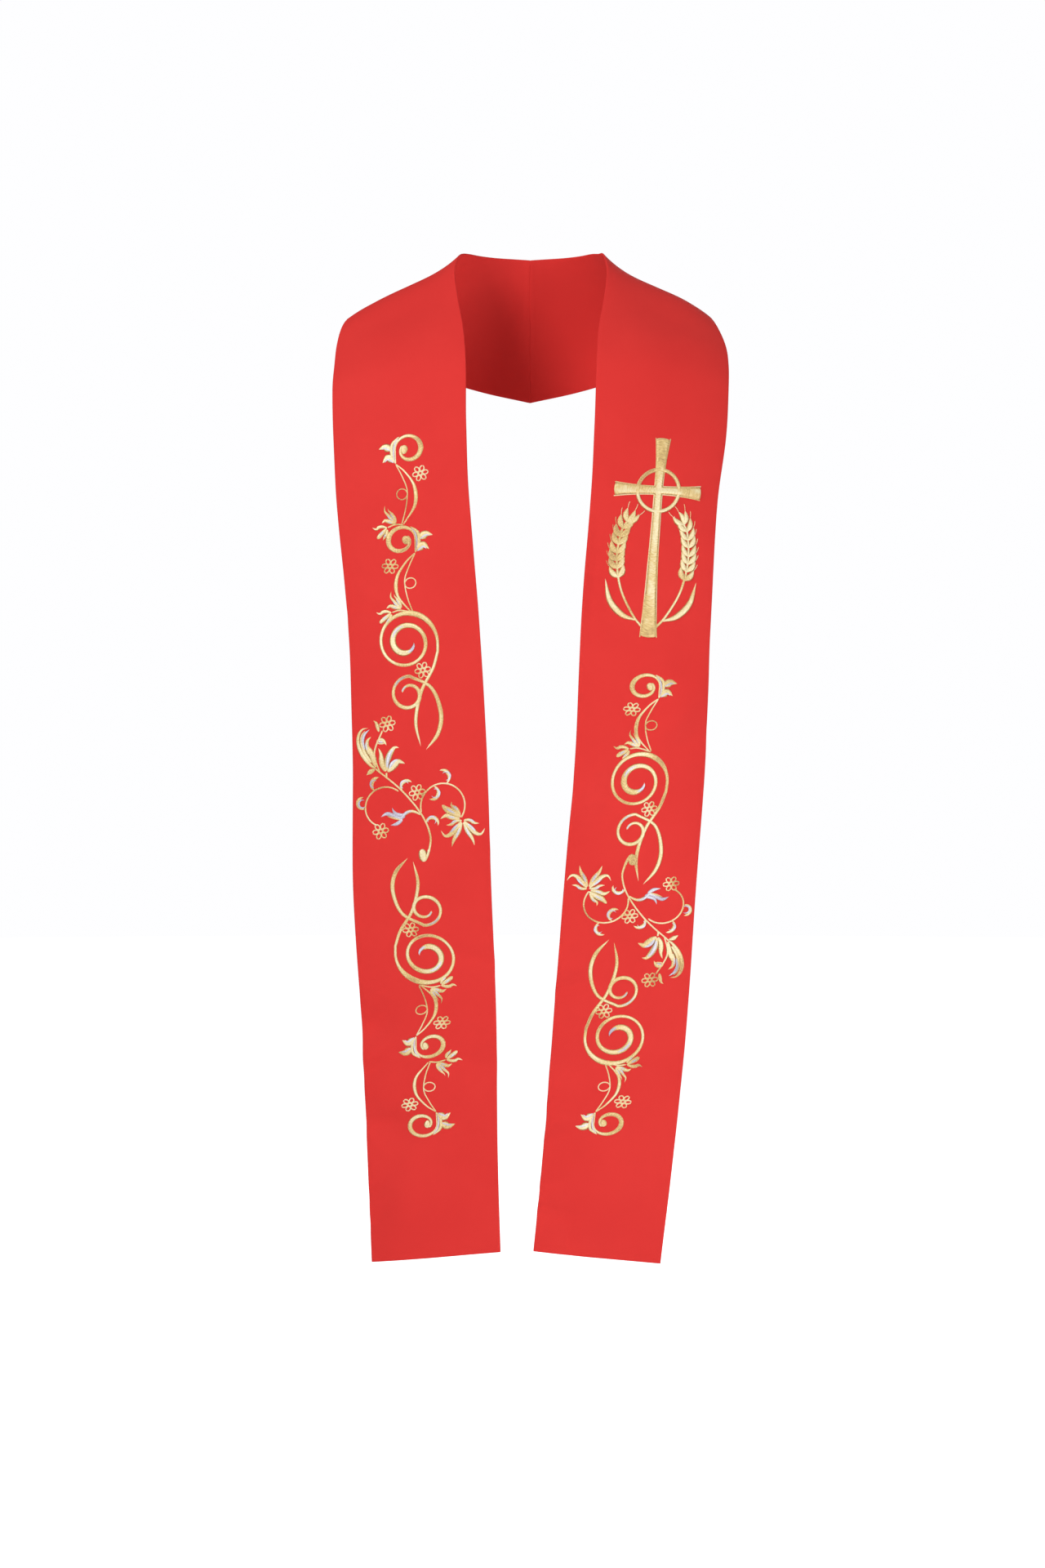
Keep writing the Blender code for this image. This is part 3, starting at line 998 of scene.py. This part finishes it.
# The emblem on the left half's chest
# A tall cross with flared arms and a ring, in satin stitch over thick padding and edged with cord,
# between two ears of wheat, each with a long leaf, whose stalks rise from its foot.
PAD_HEIGHT = 2.0
ARM_BREADTH = 9.5
ARM_FLARE = 2.4
ARM_EDGE = 1.4
RING_RADIUS = 25.0
RING_BREADTH = 4.8
STALK_BREADTH = 3.0
GRAIN_HEIGHT = 1.4
EAR_STEP = 9.6
GRAIN_PAIRS = 8
GRAIN_LENGTH = 17.5
GRAIN_BREADTH = 7.4
GRAIN_SPREAD = 27
BRISTLE_BREADTH = 0.8


def padded_arm(work, place, start, end, end_breadth):
    """A padded arm of the cross that flares towards its end, edged with cord."""
    line = even_line([start, end], FINE_PITCH)
    t = np.linspace(0, 1, len(line))
    breadths = ARM_BREADTH + (end_breadth - ARM_BREADTH) * t ** ARM_FLARE
    add_stroke(work, put(place, line), breadths, PAD_HEIGHT, sides=14, slant=0.3, end_round=0.35)
    ahead = (line[-1] - line[0]) / np.linalg.norm(line[-1] - line[0])
    aside = np.array([-ahead[1], ahead[0]])
    for edge in (-1, 1):
        cord_line(work, place, line + aside * (edge * breadths / 2)[:, None], ARM_EDGE)


def grain(work, place, base, heading, hand):
    """A grain of wheat with its bristle."""
    seat = (base, heading, 1, hand)
    body = planted(*seat, (0, 0), (2.2, GRAIN_LENGTH / 2), (0.6, GRAIN_LENGTH))
    satin(work, place, body, (1.2, GRAIN_BREADTH, GRAIN_BREADTH * 0.8, 0), height=GRAIN_HEIGHT)
    bristle = planted(*seat, (0.6, GRAIN_LENGTH - 1), (0.2, GRAIN_LENGTH + 4), (-1, GRAIN_LENGTH + 8))
    cord_line(work, place, bristle, BRISTLE_BREADTH)


def heading_at(line, spot):
    """The direction of a line at one of its points, in degrees."""
    ahead = line[spot + 1] - line[spot]
    return math.degrees(math.atan2(ahead[1], ahead[0]))


def wheat_ear(work, place, stalk):
    """An ear of wheat: a corded stalk with pairs of padded grains up to its tip."""
    cord_line(work, place, stalk, STALK_BREADTH)
    pitch = np.linalg.norm(stalk[1] - stalk[0])
    for pair in range(GRAIN_PAIRS):
        spot = len(stalk) - 2 - round(pair * EAR_STEP / pitch)
        for hand in (1, -1):
            grain(work, place, stalk[spot], heading_at(stalk, spot) - hand * GRAIN_SPREAD, hand)
    grain(work, place, stalk[-2], heading_at(stalk, -2), 1)


emblem = Place(1.6, 842.0, 1.0, 1.0, 0, 0.045)
for side in (-1, 1):
    stalk_line = through(
        (side * 6, -108), (side * 20, -92), (side * 36, -62),
        (side * 43, -26), (side * 40, 6), (side * 34, 18),
    )
    wheat_ear(left_gold, emblem, stalk_line)
    leaf_line = through((side * 16, -98), (side * 33, -92), (side * 48, -76), (side * 55, -50))
    satin(left_gold, emblem, leaf_line, (2, 7.6, 6.4, 0), height=GRAIN_HEIGHT)
ring = loop_line((0, 56), RING_RADIUS, RING_RADIUS, overlap=1.02, count=72)
satin(left_gold, emblem, ring, (RING_BREADTH, RING_BREADTH), height=GRAIN_HEIGHT)
for arm in (
    ((0, 52), (0, 120), 18),
    ((0, 60), (0, -118), 20),
    ((4, 56), (-53, 56), 17),
    ((-4, 56), (53, 56), 17),
):
    padded_arm(left_gold, emblem, *arm)
left_trim = [
    sew_down("left_half_gold", LEFT_HALF, left_face, left_gold, gold_thread),
    sew_down("left_half_silver", LEFT_HALF, left_face, left_silver, silver_thread),
]

# The floor and the light
# A plain pale studio floor, one large soft light from the upper left, weaker ones from the right,
# from above and from behind, and an even pale surround. The camera sees the floor and the surround
# brighter than the light that they throw, so that they don't flatten the creases.
FLOOR_HEIGHT = -1.42

floor_mesh = bpy.data.meshes.new("floor")
floor_form = bmesh.new()
bmesh.ops.create_circle(floor_form, cap_ends=True, radius=14, segments=96)
bmesh.ops.translate(floor_form, verts=floor_form.verts, vec=(0, 0, FLOOR_HEIGHT))
floor_form.to_mesh(floor_mesh)
floor_form.free()
floor_material, floor_tree, floor_shader = node_material("floor")
set_inputs(floor_shader, {
    "Base Color": (0.88, 0.885, 0.895, 1),
    "Roughness": 0.9,
    "Emission Color": (0.97, 0.975, 0.985, 1),
})
floor_path = add_node(floor_tree, "ShaderNodeLightPath")
floor_glow = add_range(floor_tree, floor_path, "Is Camera Ray", (0, 1), (0.15, 0.9))
link(floor_tree, floor_glow, "Result", floor_shader, "Emission Strength")
floor_mesh.materials.append(floor_material)
floor = bpy.data.objects.new("floor", floor_mesh)
bpy.context.scene.collection.objects.link(floor)


def soft_light(name, place, aim, size, power):
    """A large square studio light that faces a point."""
    data = bpy.data.lights.new(name, "AREA")
    data.shape = "SQUARE"
    data.size = size
    data.energy = power
    light = bpy.data.objects.new(name, data)
    light.location = place
    light.rotation_euler = (Vector(aim) - Vector(place)).to_track_quat("-Z", "Y").to_euler()
    light.visible_camera = False
    bpy.context.scene.collection.objects.link(light)


soft_light("key_light", (-1.6, -1.8, 1.1), (-0.1, -0.1, -0.5), 1.0, 53)
soft_light("fill_light", (1.5, -1.8, -0.8), (0.2, -0.1, -1.0), 1.1, 25)
soft_light("top_light", (0.5, -0.4, 1.2), (0.2, 0, -0.1), 1.0, 2)
soft_light("back_light", (0.8, 3.2, 0.7), (0, 0, -0.4), 2.0, 30)

world = bpy.data.worlds.new("surround")
world.use_nodes = True
surround = world.node_tree
surround_light = surround.nodes["Background"]
set_inputs(surround_light, {"Color": (0.96, 0.97, 1.0, 1), "Strength": 0.20})
surround_seen = add_node(surround, "ShaderNodeBackground", {"Color": (0.99, 0.99, 1.0, 1), "Strength": 1.0})
surround_path = add_node(surround, "ShaderNodeLightPath")
surround_mix = add_node(surround, "ShaderNodeMixShader")
link(surround, surround_path, "Is Camera Ray", surround_mix, 0)
link(surround, surround_light, 0, surround_mix, 1)
link(surround, surround_seen, 0, surround_mix, 2)
link(surround, surround_mix, 0, surround.nodes["World Output"], "Surface")
bpy.context.scene.world = world
